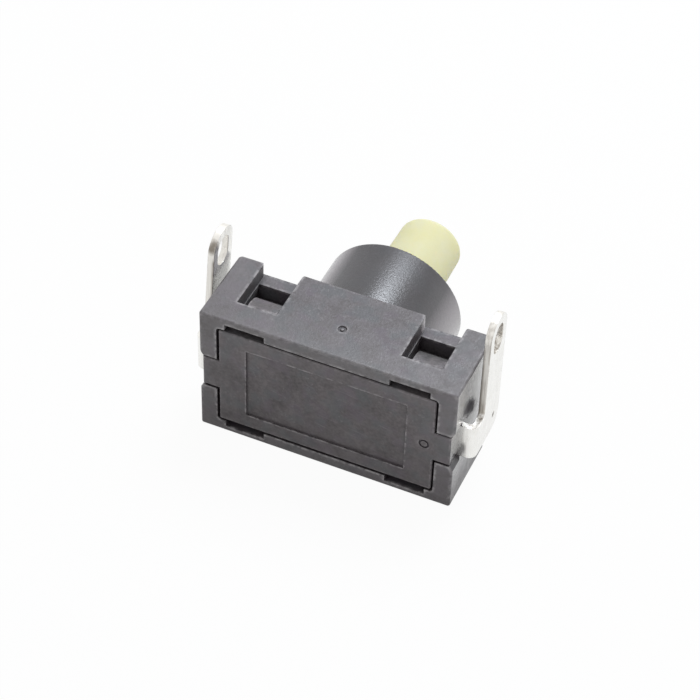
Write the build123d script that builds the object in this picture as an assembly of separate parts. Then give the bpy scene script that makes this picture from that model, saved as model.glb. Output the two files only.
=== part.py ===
from build123d import *

import os
from math import atan2, degrees, radians, sin

# Push-on push-off switch. A moulded housing carries the button in a round bushing, a base cover
# with snap hooks closes its front, and two bent strip terminals leave through its end walls.
#
# Frame: origin on the push axis, in the shoulder face that meets the panel.
# +X along the housing, +Y out through the button, +Z up, on the terminals' side. Millimetres.

# ---------------------------------------------------------------- driving dimensions

# Housing block
LENGTH = 32.25              # over the end faces
HEIGHT = 18.25              # over the side faces
DEPTH = 10.95               # cover face to shoulder
END_WALL = 3.2
SIDE_WALL = 2.6
SHOULDER_WALL = 1.8
EDGE_ROUND = 0.3
UPRIGHT_ROUND = 0.55        # upright corners of the shoulder
CAVITY_ROUND = 0.6

# Bushing
BUSHING_R = 8.8
BUSHING_LENGTH = 9.5
BUSHING_WALL = 1.9
BUSHING_END_WALL = 1.6
BUSHING_EDGE = 0.15         # softened rim

# Latch notches, one in each side wall on both sides of the neck
NOTCH_INNER_X = 7.8
NOTCH_OUTER_X = 12.85
NOTCH_DEPTH = 1.9
NOTCH_LIP_LENGTH = 3.4      # lip that the hook catches, measured from the front
LIP_T = 0.78
NOTCH_STEP = 0.12           # narrow ledge on the left wall of each notch
POCKET_WALL = 0.7           # webs that close each hook pocket off from the contacts
POCKET_ROOM = 1.0           # for the hook to give way

# Base cover
COVER_T = 2.2
COVER_SEAT = 0.7            # ledge that the cover rests on
COVER_GAP = 0.28            # all round the cover
COVER_EDGE = 0.12
COVER_ROUND = 0.5
PANEL_X = 10.1              # half-length of the sunk label panel
PANEL_Z = 5.2
PANEL_DEPTH = 0.22
PIN_MARK_X = 12.45          # ejector pin mark, a shallow ring
PIN_MARK_R = 0.65
PIN_MARK_W = 0.25
MARK_DEPTH = 0.15
GATE_MARK_R = 0.55          # gate mark on the top face, a dish with a stub
GATE_STUB_R = 0.22
GATE_MARK_Y = 4.5           # from the front

# Ears of the cover, which close the terminal slots
EAR_HALF_Z = 2.2
EAR_INSET = 0.42
SLOT_FLARE_X = 0.45
SLOT_FLARE_Z = 0.7

# Snap hooks
HOOK_LEFT_GAP = 1.35        # from the left wall of its notch
HOOK_RIGHT_GAP = 0.03
HOOK_T = 1.2
HOOK_CATCH_GAP = 0.02
HOOK_TOP_GAP = 0.03         # below the side face
HOOK_FLAT = 0.35
HOOK_ROUND = 3.1

# Terminals, 4.8 x 0.8 strip
STRIP_W = 4.8
STRIP_T = 0.8
STRIP_INNER_X = 5.2
STRIP_FIT = 0.05            # in its slot
TAB_OUT = 1.75              # outer face beyond the end face
TAB_EDGE_GAP = 1.4          # rear edge short of the shoulder
TAB_TIP_Z = 16.0
TAB_BEND_R = 1.0            # outside of the bend at the slot
TAB_CORNER_R = 2.2          # lower rear corner
TAB_NOTCH_R = 0.5
TAB_TIP_FLAT = 0.1          # left between the tip's two corner radii
EYE_W = 2.7
EYE_H = 4.0
EYE_DROP = 3.25             # eye centre below the tip
LEFT_LEAN = 3.5             # degrees that the left tab leans in

# Centre punch in the leg of each terminal: a cone inside, its point showing outside
PUNCH_BACK = 1.75           # from the tab's rear edge
PUNCH_R = 0.6
PUNCH_DEPTH = 0.5
PUNCH_POINT_R = 0.18
PUNCH_POINT_DEPTH = 0.15

# Travel
TRAVEL = 3.8                # button
OVERTRAVEL = 1.5            # after the contacts meet

# Button
BUTTON_R = 4.3
BUTTON_TIP_R = 4.1
BUTTON_PROUD = 11.75        # tip beyond the bushing's rim
BUTTON_ROUND = 0.5
BUTTON_GAP = 0.2            # running clearance in the bushing
FLANGE_T = 1.6
FLANGE_GAP = 0.45           # running clearance in the bore
STOP_GAP = 0.1              # flange to end wall

# Slider
HEAD_LENGTH = 6.3
RIB_HALF_W = 0.9
RIB_PROUD = 0.4             # into the bushing's guide groove
RIB_GAP = 0.2
STEM_R = 2.9
STEM_END = 0.5              # stem beyond the clip
SPIGOT_R = 2.4
SPIGOT_LENGTH = 5.0
PRESS_FIT_GAP = 0.03

# Contact bridge and contacts
BRIDGE_T = 0.6
BRIDGE_ARM_W = 4.0
BRIDGE_HUB_R = 4.5
BRIDGE_CORNER_R = 1.0
BRIDGE_HOLE_GAP = 0.15
BRIDGE_END = 1.7            # beyond the contact's centre
CONTACT_X = 7.0
CONTACT_REST_GAP = 0.03     # left between the contacts at full travel
FIXED_HEAD_R = 1.7
FIXED_HEAD_T = 0.7
MOVING_HEAD_R = 1.55
MOVING_HEAD_T = 0.6
SHANK_R = 0.85
SHANK_GAP = 0.03
CONTACT_EDGE_R = 0.2
TAIL_R = 1.15
TAIL_T = 0.2

# Retaining clip
CLIP_T = 0.5
CLIP_R = 4.1
CLIP_GROOVE = 0.3
CLIP_GAP = 0.03

# Springs
CONTACT_WIRE = 0.5
CONTACT_TURNS = 3.5
CONTACT_COIL_GAP = 0.15     # round the stem
CONTACT_POCKET_DEPTH = 2.0
RETURN_WIRE = 0.45
RETURN_TURNS = 8
RETURN_BORE_R = 2.15
RETURN_BORE_DEPTH = 9.7
RETURN_COIL_GAP = 0.2
SEAT_GAP = 0.02
WELL_R = 4.5                # well in the cover under the stem
WELL_GAP = 0.4
POST_GAP = 0.3              # cover's post inside the return spring
POST_LENGTH = 2.8

# Latch wire, which swings in a slot of the lower side wall
WIRE_R = 0.4
WIRE_FIT = 0.06
WIRE_BEND_R = 0.7
PIVOT_UP = 1.1              # pivot above the cover's inner face
PIVOT_DEPTH = 0.95          # into the side wall
LEG_GAP = 0.2               # leg to the slider's flat
LEAF_GAP = 0.12             # leg to the leaf spring
LATCH_ROOM = 0.25           # round the moving wire, in the housing
TIP_START_X = -0.7
TIP_END_X = 0.7
TIP_UP = 0.8                # tip above the slider's lower face at rest
CAM_DEPTH = 0.8
CAM_GAP = 0.25
CAM_LOBE_X = 2.6            # far side of the return lane
CAM_LOBE_IN = 0.6
CAM_LOBE_RISE = 0.9         # from the lower turn
CAM_LOBE_DROP = 1.1         # below the upper turn
CAM_SEAT_DROP = 1.0         # latched seat below the upper turn
CAM_SEAT_R = 0.5
LEAF_T = 0.2
LEAF_W = 3.2
LEAF_BOW = 0.18
LEAF_START = 1.7            # above the cover's inner face
LEAF_LENGTH = 4.4

# Locating ribs for the terminal strips, on the cover
LOCATOR_T = 0.8
LOCATOR_START_X = 8.6
LOCATOR_LENGTH = 2.6

# ---------------------------------------------------------------- places worked out from them

END_X = LENGTH / 2
TOP_Z = HEIGHT / 2
FRONT_Y = -DEPTH
CAVITY_X = END_X - END_WALL
CAVITY_Z = TOP_Z - SIDE_WALL
CAVITY_TOP_Y = -SHOULDER_WALL
COVER_X = CAVITY_X + COVER_SEAT
COVER_Z = CAVITY_Z + COVER_SEAT
COVER_IN_Y = FRONT_Y + COVER_T
STRIP_TOP_Y = COVER_IN_Y + STRIP_T
NOTCH_FLOOR_Z = TOP_Z - NOTCH_DEPTH
LIP_Z = TOP_Z - LIP_T
LIP_Y = FRONT_Y + NOTCH_LIP_LENGTH

BORE_R = BUSHING_R - BUSHING_WALL
BORE_END_Y = BUSHING_LENGTH - BUSHING_END_WALL
FLANGE_R = BORE_R - FLANGE_GAP
FLANGE_TOP_Y = BORE_END_Y - STOP_GAP
HEAD_TOP_Y = FLANGE_TOP_Y - FLANGE_T
HEAD_Y = HEAD_TOP_Y - HEAD_LENGTH

BRIDGE_TRAVEL = TRAVEL - OVERTRAVEL
FIXED_FACE_Y = STRIP_TOP_Y + FIXED_HEAD_T
MOVING_FACE_Y = FIXED_FACE_Y + BRIDGE_TRAVEL + CONTACT_REST_GAP
BRIDGE_Y = MOVING_FACE_Y + MOVING_HEAD_T
BRIDGE_TOP_Y = BRIDGE_Y + BRIDGE_T
CLIP_TOP_Y = BRIDGE_Y - CLIP_GAP
CLIP_Y = CLIP_TOP_Y - CLIP_T
STEM_Y = CLIP_Y - STEM_END
WELL_Y = STEM_Y - TRAVEL - WELL_GAP
BORE_TOP_Y = STEM_Y + RETURN_BORE_DEPTH

CONTACT_COIL_R = STEM_R + CONTACT_COIL_GAP + CONTACT_WIRE / 2
POCKET_R = CONTACT_COIL_R + CONTACT_WIRE / 2 + CONTACT_COIL_GAP
RETURN_COIL_R = RETURN_BORE_R - RETURN_COIL_GAP - RETURN_WIRE / 2
POST_R = RETURN_COIL_R - RETURN_WIRE / 2 - POST_GAP

LEG_Z = -(CAVITY_Z - LEAF_BOW - LEAF_T - LEAF_GAP - WIRE_R)
FLAT_Z = -LEG_Z - WIRE_R - LEG_GAP
PIVOT_Y = COVER_IN_Y + PIVOT_UP
TIP_Y = HEAD_Y + TIP_UP
TIP_Z = -(FLAT_Z - CAM_DEPTH + CAM_GAP)

TAB_OUTER_X = END_X + TAB_OUT
TAB_REAR_Y = -TAB_EDGE_GAP
TAB_FRONT_Y = TAB_REAR_Y - STRIP_W


# ---------------------------------------------------------------- simple solids

def block(x, y, z):
    """A box from its low and high limits on each axis."""
    size = Box(x[1] - x[0], y[1] - y[0], z[1] - z[0])
    return Pos((x[0] + x[1]) / 2, (y[0] + y[1]) / 2, (z[0] + z[1]) / 2) * size


def rod(radius, y_low, y_high, x=0.0, z=0.0):
    """A round bar along the push axis."""
    bar = Rot(90, 0, 0) * Cylinder(radius, y_high - y_low)
    return Pos(x, (y_low + y_high) / 2, z) * bar


def slab(face, y_low, y_high):
    """A face drawn in X and Z, given its thickness along the push axis."""
    return extrude(Plane.XZ.offset(-y_high) * face, y_high - y_low)


def plate(face, x_low, x_high):
    """A face drawn in Y and Z, given its thickness along the housing."""
    return extrude(Plane.YZ.offset(x_low) * face, x_high - x_low)


def outline(points, radii):
    """A closed outline of straight runs, with its own radius at each corner."""
    return make_face(FilletPolyline(*points, radius=radii, close=True))


def coil(radius, wire, turns, y_low, y_high):
    """A round-wire spring between two seats."""
    height = y_high - y_low - wire
    start = (0, y_low + wire / 2, 0)
    path = Helix(height / turns, height, radius, center=start, direction=(0, 1, 0))
    section = Plane(origin=path @ 0, z_dir=path % 0) * Circle(wire / 2)
    return sweep(section, path=path, is_frenet=True)


def both_sides(shape):
    """A shape and its mirror image across the middle of the housing."""
    return [shape, mirror(shape, about=Plane.YZ)]


def top_and_bottom(shapes):
    """Shapes and their mirror images across the push axis."""
    return shapes + [mirror(shape, about=Plane.XY) for shape in shapes]


# ---------------------------------------------------------------- housing

def terminal_slot():
    """Slot in the right end wall for the strip and the ear, flared at the outside."""
    half = STRIP_W / 2 + STRIP_FIT
    flare_x = END_X - SLOT_FLARE_X
    points = [
        (CAVITY_X, -half), (flare_x, -half), (END_X, -half - SLOT_FLARE_Z),
        (END_X, half + SLOT_FLARE_Z), (flare_x, half), (CAVITY_X, half),
    ]
    mouth = slab(make_face(Polyline(*points, close=True)), FRONT_Y, COVER_IN_Y)
    return mouth + block((CAVITY_X, END_X), (COVER_IN_Y, STRIP_TOP_Y + STRIP_FIT), (-half, half))


def hook_pocket():
    """Upper right pocket for a hook: rim slot at the front, open to the notch above it."""
    low_z = CAVITY_Z - CAVITY_ROUND
    points = [
        (FRONT_Y, low_z), (FRONT_Y, LIP_Z), (LIP_Y, LIP_Z), (LIP_Y, NOTCH_FLOOR_Z + LIP_T),
        (CAVITY_TOP_Y, NOTCH_FLOOR_Z + LIP_T), (CAVITY_TOP_Y, low_z),
    ]
    return plate(make_face(Polyline(*points, close=True)), NOTCH_INNER_X, NOTCH_OUTER_X)


def latch_notch():
    """Upper right notch down to its sill, with the shoulder's upright corners rounded beside it."""
    width = NOTCH_OUTER_X - NOTCH_INNER_X
    middle_x = (NOTCH_INNER_X + NOTCH_OUTER_X) / 2
    plan = Pos(middle_x, LIP_Y / 2) * Rectangle(width, -LIP_Y)
    mouth = Pos(middle_x, -UPRIGHT_ROUND / 2) * Rectangle(width + 2 * UPRIGHT_ROUND, UPRIGHT_ROUND)
    for x in (NOTCH_INNER_X - UPRIGHT_ROUND, NOTCH_OUTER_X + UPRIGHT_ROUND):
        mouth -= Pos(x, -UPRIGHT_ROUND) * Circle(UPRIGHT_ROUND)
    return extrude(Plane.XY.offset(NOTCH_FLOOR_Z) * (plan + mouth), NOTCH_DEPTH)


def shell():
    """Outside of the housing: a rounded block with the four latch notches sunk in its side faces."""
    body = block((-END_X, END_X), (FRONT_Y, 0), (-TOP_Z, TOP_Z))
    body = fillet(body.edges().filter_by(Axis.Z).group_by(Axis.Y)[-1], UPRIGHT_ROUND)
    body = fillet(body.edges().filter_by(Axis.Z).group_by(Axis.Y)[0] + body.edges().group_by(Axis.Z)[0]
                  + body.edges().group_by(Axis.Z)[-1], EDGE_ROUND)
    return body - top_and_bottom(both_sides(latch_notch()))


def housing():
    body = shell()
    bushing = rod(BUSHING_R, -SHOULDER_WALL, BUSHING_LENGTH)
    rim = bushing.edges().sort_by(Axis.Y)[-1]
    body += fillet(rim, BUSHING_EDGE)

    cavity = slab(RectangleRounded(2 * CAVITY_X, 2 * CAVITY_Z, CAVITY_ROUND), FRONT_Y, CAVITY_TOP_Y)
    recess_x = 2 * (COVER_X + COVER_GAP)
    recess_z = 2 * (COVER_Z + COVER_GAP)
    recess = slab(RectangleRounded(recess_x, recess_z, COVER_ROUND), FRONT_Y, COVER_IN_Y)
    body -= [cavity, recess]
    body -= [rod(BORE_R, CAVITY_TOP_Y, BORE_END_Y), rod(BUTTON_R + BUTTON_GAP, 0, BUSHING_LENGTH)]

    # Guide grooves for the slider's ribs
    groove_r = FLANGE_R + RIB_PROUD + FLANGE_GAP + RIB_GAP
    groove = block((0, groove_r), (CAVITY_TOP_Y, BORE_END_Y), (-RIB_HALF_W - RIB_GAP, RIB_HALF_W + RIB_GAP))
    body -= both_sides(groove)

    # Room for the latch wire where it reaches up into the bushing
    swing_x = max(-TIP_START_X, TIP_END_X) + WIRE_R + LATCH_ROOM
    body -= block((-swing_x, swing_x), (CAVITY_TOP_Y, TIP_Y + WIRE_R + LATCH_ROOM),
                  (LEG_Z - WIRE_R - LATCH_ROOM, 0))

    body -= both_sides(terminal_slot())
    body -= top_and_bottom(both_sides(hook_pocket()))

    # Webs between each hook pocket and the contact chamber
    floor_z = COVER_Z - HOOK_T - POCKET_ROOM
    web_x = NOTCH_INNER_X - POCKET_WALL
    web_y = (COVER_IN_Y + STRIP_FIT, CAVITY_TOP_Y)
    floor_web = block((web_x, CAVITY_X), web_y, (floor_z - POCKET_WALL, floor_z))
    side_web = block((web_x, NOTCH_INNER_X), web_y, (floor_z, CAVITY_Z))
    body += top_and_bottom(both_sides(floor_web) + both_sides(side_web))

    # Ledge left along the left wall of each upper notch, level with the sill
    ledge = block((0, NOTCH_STEP), (LIP_Y, CAVITY_TOP_Y), (CAVITY_Z, NOTCH_FLOOR_Z))
    body += [Pos(NOTCH_INNER_X, 0, 0) * ledge, Pos(-NOTCH_OUTER_X, 0, 0) * ledge]

    # Pivot slot of the latch wire, closed by the cover
    slot_r = WIRE_R + WIRE_FIT
    slot_z = (-CAVITY_Z - PIVOT_DEPTH - WIRE_FIT, -CAVITY_Z)
    body -= block((-slot_r, slot_r), (COVER_IN_Y, PIVOT_Y), slot_z)
    pivot_hole = Pos(0, PIVOT_Y, sum(slot_z) / 2) * Cylinder(slot_r, slot_z[1] - slot_z[0])
    body -= pivot_hole

    gate = Cylinder(GATE_MARK_R, 2 * MARK_DEPTH) - Cylinder(GATE_STUB_R, 2 * MARK_DEPTH)
    return body - Pos(0, FRONT_Y + GATE_MARK_Y, TOP_Z) * gate


# ---------------------------------------------------------------- base cover

def snap_hook():
    """Upper right hook: an arm behind the cover with a nose that catches behind the lip."""
    catch_y = LIP_Y + HOOK_CATCH_GAP
    nose_z = TOP_Z - HOOK_TOP_GAP
    arm_z = COVER_Z - HOOK_T
    centre = (catch_y + HOOK_FLAT, nose_z - HOOK_ROUND)
    arm = block((NOTCH_INNER_X + HOOK_LEFT_GAP, NOTCH_OUTER_X - HOOK_RIGHT_GAP),
                (COVER_IN_Y, centre[0] + HOOK_ROUND), (arm_z, nose_z))
    arm -= block((NOTCH_INNER_X, NOTCH_OUTER_X), (COVER_IN_Y, catch_y), (COVER_Z, TOP_Z))
    nose = plate(Pos(*centre) * Circle(HOOK_ROUND), NOTCH_INNER_X, NOTCH_OUTER_X)
    ahead = block((NOTCH_INNER_X, NOTCH_OUTER_X), (centre[0], 0), (centre[1], TOP_Z))
    return arm - (ahead - nose)


def base_cover():
    face = RectangleRounded(2 * COVER_X, 2 * COVER_Z, COVER_ROUND - COVER_GAP)
    face += Rectangle(2 * (END_X - EAR_INSET), 2 * EAR_HALF_Z)
    cover = slab(face, FRONT_Y, COVER_IN_Y)
    cover = chamfer(cover.faces().sort_by(Axis.Y)[0].edges(), COVER_EDGE)

    cover -= slab(RectangleRounded(2 * PANEL_X, 2 * PANEL_Z, COVER_EDGE), FRONT_Y, FRONT_Y + PANEL_DEPTH)
    mark = rod(PIN_MARK_R, FRONT_Y, FRONT_Y + MARK_DEPTH, x=PIN_MARK_X)
    cover -= mark - rod(PIN_MARK_R - PIN_MARK_W, FRONT_Y, FRONT_Y + MARK_DEPTH, x=PIN_MARK_X)
    cover -= rod(WELL_R, WELL_Y, COVER_IN_Y)
    cover += rod(POST_R, WELL_Y, WELL_Y + POST_LENGTH)
    left_hook = Pos(-NOTCH_INNER_X - NOTCH_OUTER_X, 0, 0) * snap_hook()
    cover += top_and_bottom([snap_hook(), left_hook])

    # Ribs on both sides of each terminal strip
    rib_z = STRIP_W / 2 + STRIP_FIT
    rib_x = (LOCATOR_START_X, LOCATOR_START_X + LOCATOR_LENGTH)
    rib = block(rib_x, (COVER_IN_Y, STRIP_TOP_Y), (rib_z, rib_z + LOCATOR_T))
    cover += top_and_bottom(both_sides(rib))
    return cover


# ---------------------------------------------------------------- terminals and contacts

def terminal(lean):
    """Right-hand terminal: strip, bend at the slot, leg along the end wall and upright tab."""
    half = STRIP_W / 2
    inside_r = TAB_BEND_R - STRIP_T
    plan = outline(
        [(STRIP_INNER_X, COVER_IN_Y), (TAB_OUTER_X, COVER_IN_Y), (TAB_OUTER_X, TAB_FRONT_Y),
         (TAB_OUTER_X - STRIP_T, TAB_FRONT_Y), (TAB_OUTER_X - STRIP_T, STRIP_TOP_Y),
         (STRIP_INNER_X, STRIP_TOP_Y)],
        [0, TAB_BEND_R, 0, 0, inside_r, 0])
    strip = extrude(Plane.XY.offset(-half) * plan, STRIP_W)

    leg_y = COVER_IN_Y + TAB_BEND_R
    tip_r = half - TAB_TIP_FLAT / 2
    side = outline(
        [(leg_y, -half), (TAB_REAR_Y, -half), (TAB_REAR_Y, TAB_TIP_Z), (TAB_FRONT_Y, TAB_TIP_Z),
         (TAB_FRONT_Y, half), (leg_y, half)],
        [0, TAB_CORNER_R, tip_r, tip_r, TAB_NOTCH_R, 0])
    side -= Pos((TAB_FRONT_Y + TAB_REAR_Y) / 2, TAB_TIP_Z - EYE_DROP) * SlotOverall(EYE_H, EYE_W, rotation=90)

    # Edge-on ribbon of the leg and tab, with the lean above the leg
    rise = TAB_TIP_Z + STRIP_T - half
    shift = rise * sin(radians(lean))
    inner_x = TAB_OUTER_X - STRIP_T
    ribbon = make_face(Polyline(
        (TAB_OUTER_X, -half), (TAB_OUTER_X, half), (TAB_OUTER_X - shift, half + rise),
        (inner_x - shift, half + rise), (inner_x, half), (inner_x, -half), close=True))
    tab = plate(side, inner_x - shift - STRIP_T, TAB_OUTER_X) & slab(ribbon, leg_y, TAB_REAR_Y)

    shank_hole = rod(SHANK_R + SHANK_GAP, COVER_IN_Y, STRIP_TOP_Y, x=CONTACT_X)
    cone = Pos(inner_x + PUNCH_DEPTH / 2, TAB_REAR_Y - PUNCH_BACK, 0) * Rot(0, 90, 0) * Cone(
        PUNCH_R, PUNCH_POINT_R, PUNCH_DEPTH)
    point = Pos(TAB_OUTER_X - PUNCH_POINT_DEPTH / 2, TAB_REAR_Y - PUNCH_BACK, 0) * Rot(0, 90, 0) * Cylinder(
        PUNCH_POINT_R, PUNCH_POINT_DEPTH)
    return strip + tab - [shank_hole, cone, point]


def fixed_contact():
    """Rivet on the right strip, facing the bridge."""
    head = rod(FIXED_HEAD_R, STRIP_TOP_Y, FIXED_FACE_Y, x=CONTACT_X)
    head = fillet(head.edges().sort_by(Axis.Y)[-1], CONTACT_EDGE_R)
    return head + rod(SHANK_R, COVER_IN_Y, STRIP_TOP_Y, x=CONTACT_X)


def bridge_contact():
    """Rivet on the right arm of the bridge, facing the fixed contact."""
    head = rod(MOVING_HEAD_R, MOVING_FACE_Y, BRIDGE_Y, x=CONTACT_X)
    head = fillet(head.edges().sort_by(Axis.Y)[0], CONTACT_EDGE_R)
    shank = rod(SHANK_R, BRIDGE_Y, BRIDGE_TOP_Y, x=CONTACT_X)
    return head + shank + rod(TAIL_R, BRIDGE_TOP_Y, BRIDGE_TOP_Y + TAIL_T, x=CONTACT_X)


def contact_bridge():
    length = 2 * (CONTACT_X + BRIDGE_END)
    face = Circle(BRIDGE_HUB_R) + RectangleRounded(length, BRIDGE_ARM_W, BRIDGE_CORNER_R)
    bridge = slab(face, BRIDGE_Y, BRIDGE_TOP_Y)
    bridge -= rod(STEM_R + BRIDGE_HOLE_GAP, BRIDGE_Y, BRIDGE_TOP_Y)
    for x in (-CONTACT_X, CONTACT_X):
        bridge -= rod(SHANK_R + SHANK_GAP, BRIDGE_Y, BRIDGE_TOP_Y, x=x)
    return bridge


def retaining_clip():
    inside = STEM_R - CLIP_GROOVE + PRESS_FIT_GAP
    return rod(CLIP_R, CLIP_Y, CLIP_TOP_Y) - rod(inside, CLIP_Y, CLIP_TOP_Y)


# ---------------------------------------------------------------- button, slider and springs

def push_button():
    tip_y = BUSHING_LENGTH + BUTTON_PROUD
    profile = outline(
        [(0, HEAD_TOP_Y), (FLANGE_R, HEAD_TOP_Y), (FLANGE_R, FLANGE_TOP_Y), (BUTTON_R, FLANGE_TOP_Y),
         (BUTTON_TIP_R, tip_y), (0, tip_y)],
        [0, 0, 0, 0, BUTTON_ROUND, 0])
    button = revolve(profile, Axis.Y)
    socket_r = SPIGOT_R + PRESS_FIT_GAP
    return button - rod(socket_r, HEAD_TOP_Y, HEAD_TOP_Y + SPIGOT_LENGTH + PRESS_FIT_GAP)


def cam_groove():
    """Heart-shaped groove for the tip of the latch wire, with its island and latched seat."""
    lane = WIRE_R + CAM_GAP
    top_y = TIP_Y + TRAVEL
    loop = Polygon(
        (TIP_START_X, TIP_Y), (CAM_LOBE_X - CAM_LOBE_IN, TIP_Y + CAM_LOBE_RISE),
        (CAM_LOBE_X, top_y - CAM_LOBE_DROP), (TIP_END_X, top_y), align=None)
    seat = Pos(TIP_END_X + lane, top_y - lane - CAM_SEAT_DROP) * Circle(CAM_SEAT_R)
    island = offset(loop, -lane, kind=Kind.INTERSECTION) - seat
    return extrude(Plane.XY.offset(-FLAT_Z) * (offset(loop, lane) - island), CAM_DEPTH)


def slider():
    body = rod(FLANGE_R, HEAD_Y, HEAD_TOP_Y)
    rib = block((0, FLANGE_R + RIB_PROUD + FLANGE_GAP), (HEAD_Y, HEAD_TOP_Y), (-RIB_HALF_W, RIB_HALF_W))
    body += both_sides(rib)
    # Lower flat for the latch, upper flat clear of the cavity's wall
    body -= block((-FLANGE_R, FLANGE_R), (HEAD_Y, HEAD_TOP_Y), (-FLANGE_R, -FLAT_Z))
    body -= block((-FLANGE_R, FLANGE_R), (HEAD_Y, HEAD_TOP_Y), (CAVITY_Z - FLANGE_GAP, CAVITY_Z + FLANGE_R))
    body -= rod(POCKET_R, HEAD_Y, HEAD_Y + CONTACT_POCKET_DEPTH)
    body += [rod(STEM_R, STEM_Y, HEAD_TOP_Y), rod(SPIGOT_R, HEAD_TOP_Y, HEAD_TOP_Y + SPIGOT_LENGTH)]
    body -= rod(STEM_R, CLIP_Y, CLIP_TOP_Y) - rod(STEM_R - CLIP_GROOVE, CLIP_Y, CLIP_TOP_Y)
    body -= rod(RETURN_BORE_R, STEM_Y, BORE_TOP_Y)
    return body - cam_groove()


def return_spring():
    return coil(RETURN_COIL_R, RETURN_WIRE, RETURN_TURNS, WELL_Y + SEAT_GAP, BORE_TOP_Y - SEAT_GAP)


def contact_spring():
    top = HEAD_Y + CONTACT_POCKET_DEPTH - SEAT_GAP
    return coil(CONTACT_COIL_R, CONTACT_WIRE, CONTACT_TURNS, BRIDGE_TOP_Y + SEAT_GAP, top)


# ---------------------------------------------------------------- latch

def latch_pin():
    """Bent wire: pivot end in the side wall, leg beside the slider and tip in the groove."""
    points = [
        (0, PIVOT_Y, -CAVITY_Z - PIVOT_DEPTH), (0, PIVOT_Y, LEG_Z),
        (TIP_START_X, TIP_Y, LEG_Z), (TIP_START_X, TIP_Y, TIP_Z),
    ]
    path = FilletPolyline(*points, radius=WIRE_BEND_R)
    section = Plane(origin=path @ 0, z_dir=path % 0) * Circle(WIRE_R)
    return sweep(section, path=path)


def latch_spring():
    """Bowed leaf between the side wall and the wire's leg."""
    start = COVER_IN_Y + LEAF_START
    end = start + LEAF_LENGTH
    middle = (start + end) / 2
    low = -CAVITY_Z
    with BuildSketch() as profile:
        with BuildLine():
            ThreePointArc((start, low), (middle, low + LEAF_BOW), (end, low))
            Line((end, low), (end, low + LEAF_T))
            ThreePointArc((end, low + LEAF_T), (middle, low + LEAF_BOW + LEAF_T), (start, low + LEAF_T))
            Line((start, low + LEAF_T), (start, low))
        make_face()
    return plate(profile.sketch, -LEAF_W / 2, LEAF_W / 2)


# ---------------------------------------------------------------- all pieces

pieces = {
    "housing": housing(),
    "base_cover": base_cover(),
    "push_button": push_button(),
    "slider": slider(),
    "return_spring": return_spring(),
    "retaining_clip": retaining_clip(),
    "contact_bridge": contact_bridge(),
    "contact_spring": contact_spring(),
    "bridge_contact_right": bridge_contact(),
    "bridge_contact_left": mirror(bridge_contact(), about=Plane.YZ),
    "terminal_right": terminal(0),
    "terminal_left": mirror(terminal(LEFT_LEAN), about=Plane.YZ),
    "fixed_contact_right": fixed_contact(),
    "fixed_contact_left": mirror(fixed_contact(), about=Plane.YZ),
    "latch_pin": latch_pin(),
    "latch_spring": latch_spring(),
}

swing = degrees(atan2(TIP_END_X - TIP_START_X, TIP_Y - PIVOT_Y))
print(f"button travel {TRAVEL:.2f}, bridge travel {BRIDGE_TRAVEL:.2f}")
print(f"latch pivot y {PIVOT_Y:.2f}, swing {swing:.3f} deg")

os.makedirs("parts", exist_ok=True)
for name, solid in pieces.items():
    export_step(solid, f"parts/{name}.step")
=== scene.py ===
import math

import bpy
from mathutils import Matrix, Vector


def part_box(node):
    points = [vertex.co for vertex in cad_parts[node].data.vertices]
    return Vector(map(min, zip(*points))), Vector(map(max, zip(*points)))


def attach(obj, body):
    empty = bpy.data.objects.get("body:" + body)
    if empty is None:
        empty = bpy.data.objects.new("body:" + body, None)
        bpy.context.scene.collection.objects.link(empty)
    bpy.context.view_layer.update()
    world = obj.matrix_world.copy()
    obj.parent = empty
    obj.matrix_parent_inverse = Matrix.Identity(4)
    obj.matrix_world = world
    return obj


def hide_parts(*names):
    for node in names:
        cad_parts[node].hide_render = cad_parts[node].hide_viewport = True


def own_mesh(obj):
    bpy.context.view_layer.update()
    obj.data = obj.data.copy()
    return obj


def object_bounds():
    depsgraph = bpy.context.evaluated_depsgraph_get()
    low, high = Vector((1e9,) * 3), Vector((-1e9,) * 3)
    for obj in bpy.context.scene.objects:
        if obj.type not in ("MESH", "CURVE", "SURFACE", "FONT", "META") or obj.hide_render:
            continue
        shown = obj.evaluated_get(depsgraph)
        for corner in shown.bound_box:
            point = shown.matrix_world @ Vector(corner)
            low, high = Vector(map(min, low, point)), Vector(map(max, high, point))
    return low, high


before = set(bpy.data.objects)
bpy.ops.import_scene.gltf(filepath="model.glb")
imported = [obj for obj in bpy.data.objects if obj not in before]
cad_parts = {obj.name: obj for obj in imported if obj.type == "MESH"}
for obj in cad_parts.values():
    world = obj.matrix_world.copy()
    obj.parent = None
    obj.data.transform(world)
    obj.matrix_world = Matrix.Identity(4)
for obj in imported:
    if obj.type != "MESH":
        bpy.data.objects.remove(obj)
cad_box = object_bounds()

# ---------------------------------------------------------------- housing
# The body of the switch with its round bushing, one moulding in black nylon that carries all the
# other parts. Its skin has a fine matt grain, cloudy and speckled, with edges rubbed paler and a
# highlight painted along them. Shade is painted into its corners and over its lower faces, and light
# over its ends and upper faces. The mould was polished for the bushing, and more so for the two end
# faces.
HOUSING_BLACK = (71, 65, 65)
HOUSING_CLOUD = (104, 99, 103)
HOUSING_RUBBED_AND_LIT = (132, 129, 130)
HOUSING_ROUGHNESS = 0.44
HOUSING_EDGE_MM = 0.15
HOUSING_LOW_SHADE = 0.5             # how dark the painted shade on the lower faces gets
NYLON_BLOOMS = ((92, 82, 92), (80, 84, 87))    # patches of a redder and of a bluer black
NYLON_GRAIN_UM = 12
NYLON_SHEEN = 0.7

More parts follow.
